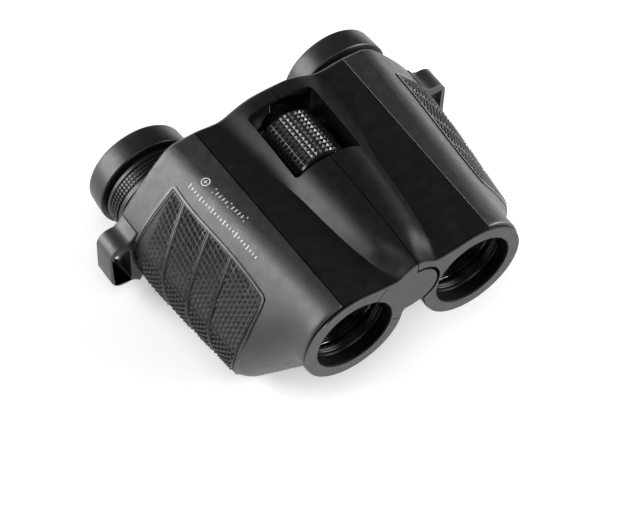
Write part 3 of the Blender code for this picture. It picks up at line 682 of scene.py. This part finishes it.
grip_paint = paint("grip rubber", (0.0060, 0.0060, 0.0062), 0.30, grain=0.25, depth=0.006, level=0.75)
GRIP_TOP = 0.35
RIB_LINES = (((0.0, 60.8), (24.6, 53.3)), ((1.8, 48.3), (24.1, 42.4)), ((4.6, 37.2), (31.7, 30.7)))
PYRAMID_ACROSS = Vector((0.705, -1.565, 0.0))
PYRAMID_DOWN = Vector((1.955, -0.135, 0.0))
PYRAMID_HEIGHT = 0.95
FIELD_DEPTH = 0.15
PAD_STEPS = (
    # width and rise of each step, from a pad's edge inwards
    (0.22, 0.0), (0.05, -0.55), (0.33, 0.0), (0.05, 0.5), (0.22, 0.0), (0.05, -0.45),
)


def pyramid_field(edge_loop, floor):
    """A pad's pyramids: a skewed grid trimmed to the pad's outline, each cell drawn up to a point."""
    bm = bmesh.new()
    centre = sum(edge_loop, Vector()) / len(edge_loop)
    cells = 48
    bmesh.ops.create_grid(bm, x_segments=cells, y_segments=cells, size=cells / 2.0)
    origin = PYRAMID_ACROSS * round(centre.y / PYRAMID_ACROSS.y)
    origin += PYRAMID_DOWN * round((centre.x - origin.x) / PYRAMID_DOWN.x)
    for vert in bm.verts:
        vert.co = origin + PYRAMID_ACROSS * vert.co.x + PYRAMID_DOWN * vert.co.y
    for a, b in zip(edge_loop, edge_loop[1:] + edge_loop[:1]):
        outwards = (b - a).cross(Vector((0.0, 0.0, 1.0)))
        if outwards.dot(centre - a) > 0.0:
            outwards.negate()
        bmesh.ops.bisect_plane(
            bm, geom=bm.verts[:] + bm.edges[:] + bm.faces[:], plane_co=(a.x, a.y, 0.0),
            plane_no=(outwards.x, outwards.y, 0.0), clear_outer=True,
        )
    for face in bm.faces:
        if face.normal.z < 0.0:
            face.normal_flip()
    made = bmesh.ops.extrude_face_region(bm, geom=bm.faces[:], use_keep_orig=True)["geom"]
    kept = [v for v in bm.verts if v not in made]
    bmesh.ops.translate(bm, verts=kept, vec=(0.0, 0.0, floor - FIELD_DEPTH))
    tops = [item for item in made if isinstance(item, bmesh.types.BMFace)]
    raised = [item for item in made if isinstance(item, bmesh.types.BMVert)]
    bmesh.ops.translate(bm, verts=raised, vec=(0.0, 0.0, floor))
    bmesh.ops.inset_individual(bm, faces=tops, thickness=0.09, depth=0.0)
    full = max(f.calc_area() for f in tops)
    for face in tops:
        height = PYRAMID_HEIGHT * math.sqrt(face.calc_area() / full)
        bmesh.ops.poke(bm, faces=[face], offset=height if face.normal.z > 0.0 else -height)
    bmesh.ops.recalc_face_normals(bm, faces=bm.faces)
    return bm


def joined(bm, other):
    """Add another shape's mesh to bm."""
    mesh = bpy.data.meshes.new("part")
    other.to_mesh(mesh)
    other.free()
    bm.from_mesh(mesh)
    bpy.data.meshes.remove(mesh)


for half, side in SIDES.items():
    insert = grip_slab(0.0, -0.6, GRIP_TOP)
    top = max(insert.faces, key=lambda f: f.calc_center_median().z)
    if top.normal.z < 0.0:
        top.normal_flip()
    bmesh.ops.inset_region(insert, faces=[top], thickness=0.62, depth=0.0, use_boundary=True)
    pads = [top]
    for (run_a, y_a), (run_b, y_b) in RIB_LINES:
        along = Vector((run_b - run_a, y_b - y_a, 0.0))
        bmesh.ops.bisect_plane(
            insert, geom=list({g for f in pads for g in (f, *f.edges, *f.verts)}), dist=0.0001,
            plane_co=(run_a, y_a, 0.0), plane_no=along.cross(Vector((0.0, 0.0, 1.0))),
        )
        frame_z = GRIP_TOP - 0.001
        pads = [
            f for f in insert.faces
            if all(v.co.z > frame_z for v in f.verts)
            and abs(f.normal.z) > 0.9 and f.calc_area() > 150.0
        ]
    for thickness, depth in PAD_STEPS:
        bmesh.ops.inset_individual(insert, faces=pads, thickness=thickness, depth=depth)
    fields = [([v.co.copy() for v in pad.verts], pad.verts[0].co.z) for pad in pads]
    cross_cut(insert)
    for edge_loop, floor in fields:
        joined(insert, pyramid_field(edge_loop, floor + 0.02))
    laid_on_body(insert, side)
    fitted(
        insert, f"{half}_finger_grip", f"{half}_body", grip_paint,
        [f"{half}_grip_panel"], sharp=25.0,
    )


# ------------------------------------------------------------------ printed marks
# White pad-printed graduations above the right grip: a plain ring with a cross in it, a short
# scale beside it and a longer scale below.

ink = paint("white ink", (0.80, 0.80, 0.80), 0.45, grain=0.1, depth=0.002, spread=0.04)
INK_LOW, INK_HIGH = -0.03, 0.03


def ink_bar(bm, run, y, length, width):
    """A printed line, centred at (run, y), its length round the body and its width along it."""
    place = Matrix.Translation((run, y, (INK_LOW + INK_HIGH) / 2.0))
    size = Matrix.Diagonal((length, width, INK_HIGH - INK_LOW, 1.0))
    bmesh.ops.create_cube(bm, size=1.0, matrix=place @ size)


marks = bmesh.new()
RING_MARK = [(1.15, INK_LOW), (1.4, INK_LOW), (1.4, INK_HIGH), (1.15, INK_HIGH)]
MARK_RUN, MARK_Y = -9.0, 60.2
ring_mark = turned(RING_MARK, (0.0, 0.0), 40)
bmesh.ops.transform(
    ring_mark, verts=ring_mark.verts,
    matrix=Matrix.Translation((MARK_RUN, MARK_Y, 0.0)) @ Matrix.Rotation(math.radians(90.0), 4, "X"),
)
joined(marks, ring_mark)
ink_bar(marks, MARK_RUN, MARK_Y, 1.3, 0.22)
ink_bar(marks, MARK_RUN, MARK_Y, 0.22, 1.3)
for i in range(11):
    y = 56.0 - 1.4 * i
    ink_bar(marks, -8.6 + 0.12 * i, y, 2.0 if i % 5 == 0 else 1.1, 0.26)
for i in range(24):
    y = 63.0 - 1.4 * i
    ink_bar(marks, -5.0 + 0.185 * i, y, 1.7 if i % 4 == 0 else 0.9, 0.26)
laid_on_body(marks, SIDES["right"])
fitted(marks, "right_scale_print", "right_body", ink, sharp=60.0)


# ------------------------------------------------------------------ objectives
# A cemented lens held against a seat by a black anodised retaining ring with two slots for a pin
# spanner, in a blackened bore.

alloy_paint = paint(
    "black anodised alloy", (0.010, 0.010, 0.0105), 0.34, grain=0.15, depth=0.003, metallic=0.3,
)
glass = paint("coated glass", (0.75, 0.86, 0.80), 0.05, grain=2.0, depth=0.0, spread=0.02)
glass.node_tree.nodes["Principled BSDF"].inputs["Transmission Weight"].default_value = 1.0
glass.node_tree.nodes["Principled BSDF"].inputs["IOR"].default_value = 1.52
flat_black = paint("flat black", (0.0015, 0.0015, 0.0015), 0.6, grain=0.3, depth=0.003, level=0.12)
RETAINER = [
    (12.3, 4.6), (12.55, 4.1), (12.9, 4.1), (12.9, 7.0), (12.3, 7.0), (12.3, 6.4), (12.45, 6.2),
    (12.3, 6.0), (12.3, 5.6), (12.45, 5.4), (12.3, 5.2),
]


def bulged(radius, edge_y, middle_y, steps=10):
    """Points of a shallow lens face from the middle out to its edge."""
    return [(radius * i / steps, mix(middle_y, edge_y, (i / steps) ** 2)) for i in range(steps + 1)]


for half, side in SIDES.items():
    body, barrel = f"{half}_body", (side * OBJECTIVE_X, 0.0)
    retainer = turned(RETAINER, barrel, 128)
    for near, far in ((11.5, 13.5), (-13.5, -11.5)):
        slot = block((barrel[0] + near, 3.0, -0.8), (barrel[0] + far, 4.9, 0.8))
        retainer = machined(retainer, ("DIFFERENCE", slot))
    fitted(
        retainer, f"{half}_retaining_ring", body, alloy_paint,
        [f"{half}_objective_retainer"],
    )
    lining = turned([(12.92, 0.62), (13.13, 0.62), (13.13, 4.0), (12.92, 4.0)], barrel, 128)
    fitted(lining, f"{half}_bore_lining", body, flat_black)
    seat = turned([(11.9, 11.6), (12.9, 11.6), (12.9, 14.0), (11.9, 14.0)], barrel, 96)
    fitted(seat, f"{half}_lens_seat", body, alloy_paint, [f"{half}_objective_seat"])
    front = bulged(12.8, 7.8, 7.2)
    rear = bulged(12.8, 10.6, 11.4)
    fitted(
        turned(front + rear[::-1], barrel, 96), f"{half}_objective_glass", body, glass,
        [f"{half}_objective_lens"],
    )


# ------------------------------------------------------------------ focus wheel
# An anodised core with a smooth polished ring at its front, and a rubber sleeve pressed over it
# with forty rows of small pyramids.

wheel_ring_paint = paint(
    "polished ring", (0.010, 0.010, 0.0105), 0.22, grain=0.5, depth=0.001, metallic=0.2,
)
wheel_rubber = paint("wheel rubber", (0.0060, 0.0060, 0.0062), 0.28, grain=0.2, depth=0.005, level=0.8)
WHEEL_END = 68.0
WHEEL_CORE = [
    (2.0, 48.2), (10.0, 48.2), (10.3, 48.5), (10.3, 49.2), (8.9, 49.2), (8.9, WHEEL_END),
    (2.0, WHEEL_END),
]
core = turned(WHEEL_CORE, hinge, 96)
fitted(core, "focus_wheel_hub", "focus_wheel", wheel_ring_paint, ["focus_wheel_core"])

WHEEL_ROWS, WHEEL_AROUND, WHEEL_R = 11, 40, 9.72
knurl_start, knurl_end = 49.6, 67.8
row_marks = [mix(knurl_start, knurl_end, i / WHEEL_ROWS) for i in range(WHEEL_ROWS + 1)]
sleeve = turned(
    [(9.1, 49.4), (9.6, 49.4)] + [(WHEEL_R, y) for y in row_marks]
    + [(9.6, WHEEL_END), (9.1, WHEEL_END)], hinge, WHEEL_AROUND,
)


def knurl(bm, axis, radius, span, gap, height, flat=None):
    """Raise a stud on each face of a turned piece that lies on this radius within the span."""
    studs = []
    for face in bm.faces:
        middle = face.calc_center_median()
        reach = math.hypot(middle.x - axis[0], middle.z - axis[1])
        if span[0] < middle.y < span[1] and abs(reach - radius) < 0.12:
            studs.append(face)
    bmesh.ops.inset_individual(bm, faces=studs, thickness=gap, depth=0.0)
    if flat is None:
        bmesh.ops.poke(bm, faces=studs, offset=height)
    else:
        bmesh.ops.inset_individual(bm, faces=studs, thickness=flat, depth=height)


knurl(sleeve, hinge, WHEEL_R, (knurl_start, knurl_end), 0.10, 0.52)
fitted(
    sleeve, "focus_wheel_sleeve", "focus_wheel", wheel_rubber, ["focus_wheel_grip"],
    sharp=20.0,
)


# ------------------------------------------------------------------ eyepieces
# Each slides as one: an anodised sleeve and lens barrel, two lenses, a threaded ring, and a
# fold-down rubber eyecup. The right one has the diopter ring and the left one a plain collar.

cup_paint = paint("eyecup rubber", (0.0095, 0.0095, 0.0098), 0.36, grain=0.22, depth=0.010)
ring_paint = paint("diopter ring", (0.0085, 0.0085, 0.0087), 0.36, grain=0.22, depth=0.006)
BARREL = [
    (6.6, 61.0), (8.5, 61.0), (8.5, 88.7), (14.2, 88.7), (14.2, 90.3), (11.0, 90.3), (11.0, 94.0),
    (9.6, 94.0), (9.6, 89.7), (7.4, 88.6), (7.4, 66.0), (6.6, 66.0),
]
CUP = [
    (14.4, 89.1), (16.9, 89.1), (17.2, 89.5), (17.05, 92.5), (16.7, 97.0), (15.9, 97.8), (14.9, 97.6),
    (13.2, 92.2), (11.2, 92.2), (11.2, 90.5), (14.4, 90.5),
]
for half, side in SIDES.items():
    eye = (side * EYE_X, EYE_Z)
    sliding = "left_ocular" if half == "left" else "right_ocular"
    carriage = "left_ocular" if half == "left" else "right_carriage"
    sleeve = turned([(8.7, 58.0), (9.6, 58.0), (9.6, 86.0), (8.7, 86.0)], eye)
    fitted(sleeve, f"{half}_slide_sleeve", carriage, alloy_paint, [f"{half}_ocular_sleeve"])
    fitted(
        soften(turned(BARREL, eye), 0.15), f"{half}_eye_barrel", sliding, alloy_paint,
        [f"{half}_lens_barrel"],
    )
    cup = soften(turned(CUP, eye, 128), 0.35, angle=25.0, steps=4)
    fitted(cup, f"{half}_rubber_cup", sliding, cup_paint, [f"{half}_eyecup"])
    eye_glass = turned(bulged(9.3, 90.0, 89.1) + bulged(9.3, 91.8, 93.0)[::-1], eye)
    fitted(eye_glass, f"{half}_eye_glass", sliding, glass, [f"{half}_eye_lens"])
    field_glass = turned(bulged(7.2, 67.2, 66.3) + bulged(7.2, 69.4, 70.5)[::-1], eye)
    fitted(field_glass, f"{half}_field_glass", sliding, glass, [f"{half}_field_lens"])
    ring = turned([(8.3, 93.2), (9.4, 92.3), (9.4, 94.0), (8.7, 94.0)], eye)
    fitted(ring, f"{half}_glass_ring", sliding, alloy_paint, [f"{half}_eye_lens_ring"])

eye = (EYE_X, EYE_Z)
collar = soften(turned([(9.8, 80.3), (15.3, 80.3), (15.3, 88.2), (9.8, 88.2)], eye, 128), 0.3)
fitted(collar, "left_plain_collar", "left_ocular", ring_paint, ["left_ocular_collar"])

eye = (-EYE_X, EYE_Z)
DIOPTER_ROWS, DIOPTER_AROUND, DIOPTER_R = 3, 80, 15.05
stud_start, stud_end = 82.5, 86.3
stud_marks = [mix(stud_start, stud_end, i / DIOPTER_ROWS) for i in range(DIOPTER_ROWS + 1)]
dial = turned(
    [(9.8, 80.3), (14.9, 80.3), (15.3, 80.7), (15.3, 82.1)] + [(DIOPTER_R, y) for y in stud_marks]
    + [(15.7, 86.7), (15.7, 87.7), (15.3, 88.1), (9.8, 88.1)], eye, DIOPTER_AROUND,
)
knurl(dial, eye, DIOPTER_R, (stud_start, stud_end), 0.17, 0.55, flat=0.14)
fitted(dial, "diopter_dial", "diopter", ring_paint, ["diopter_ring"], sharp=25.0)


# ------------------------------------------------------------------ rear covers
# A flat ABS plate closes each prism chamber from behind, with a collar round the eyepiece sleeve
# and a rounded edge let into the shell.

rear_paint = paint("rear cover plastic", (0.0055, 0.0055, 0.0057), 0.42, grain=0.25, depth=0.008)
COVER_GAP = 0.4         # between the plate and the chamber's wall
COVER_U = 13.6          # the plate's inner edge
COLLAR = [(9.9, 76.8), (14.6, 76.8), (14.6, 78.4), (14.3, 78.7), (9.9, 78.7)]
for half, side in SIDES.items():
    eye = (side * EYE_X, EYE_Z)
    inset = ARMOUR + FIT + WALL + COVER_GAP
    circles = section_circles(76.0, inset)
    circles[2] = (circles[2][0], OBJECTIVE_X - COVER_U)
    points = [wrap(circles, 2.0 * math.pi * i / 96) for i in range(96)]
    outline = [(side * p.x, max(p.y, FOOT_Z + inset)) for p in points]
    collar = turned(COLLAR, eye, 128)
    plate = soften(slab(outline, (76.6, 78.0)), 0.3)
    plate = machined(plate, ("UNION", collar), ("DIFFERENCE", bar(eye, 9.9, (75.0, 80.0), 96)))
    fitted(
        plate, f"{half}_rear_plate", f"{half}_body", rear_paint,
        [f"{half}_rear_cover"],
    )


# ------------------------------------------------------------------ strap loops
# A thick rounded rubber loop on each outer side, moulded in one with the armour. The neck strap
# goes through its slot, from front to back.

LOOP_SPAN = (68.6, 77.0)
LOOP_ROOT = [
    # where the loop grows out of the body, from below its slot to above it
    (50.6, -28.0), (53.0, -22.0), (54.2, -15.2), (53.4, -9.0), (51.3, -6.0), (52.9, -6.0),
    (54.6, -8.4),
]
SLOT_U, SLOT_Z = (55.2, 60.8), (-26.6, -12.8)
for half, side in SIDES.items():
    low, high, tip, bend = -28.6, -9.4, 62.3, 4.5
    outline = []
    for centre, turn in (((tip - bend, high - bend), 90.0), ((tip - bend, low + bend), 0.0)):
        for i in range(9):
            angle = math.radians(turn - 11.25 * i)
            outline.append((centre[0] + bend * math.cos(angle), centre[1] + bend * math.sin(angle)))
    outline += [(55.2, low), (53.9, low - 0.6), (52.4, low - 2.2)]
    outline += LOOP_ROOT + [(56.3, high)]
    loop = slab([(side * u, z) for u, z in outline], LOOP_SPAN)
    near, far = sorted(side * u for u in SLOT_U)
    slot = block((near, LOOP_SPAN[0] - 1.0, SLOT_Z[0]), (far, LOOP_SPAN[1] + 1.0, SLOT_Z[1]))
    loop = machined(loop, ("DIFFERENCE", slot))
    bmesh.ops.dissolve_limit(
        loop, angle_limit=math.radians(1.0), verts=loop.verts, edges=loop.edges,
    )
    soften(loop, 0.7, angle=50.0, steps=5)
    fitted(
        loop, f"{half}_strap_loop", f"{half}_body", armour_paint,
        [f"{half}_strap_lug"], sharp=45.0,
    )


# ------------------------------------------------------------------ inner works
# The prisms, their shelf and spring straps, the hinge tube, the focus spindle and its two arms are
# seen only through the gaps: ground glass, blackened alloy, bright steel and brass.

steel = paint("spring steel", (0.42, 0.42, 0.43), 0.30, grain=0.4, depth=0.002, metallic=1.0)
brass = paint("brass", (0.55, 0.40, 0.18), 0.32, grain=0.4, depth=0.002, metallic=1.0)
WORKS = {
    "prism_shelf": alloy_paint, "rear_prism": glass, "front_prism": glass, "rear_prism_strap": steel,
    "front_prism_strap": steel, "focus_arm": alloy_paint, "hinge_tube": steel, "focus_spindle": brass,
}
for name, node in frame["nodes"].items():
    for word, finish in WORKS.items():
        if name in (word, f"left_{word}", f"right_{word}"):
            for slot in node.material_slots:
                slot.material = finish
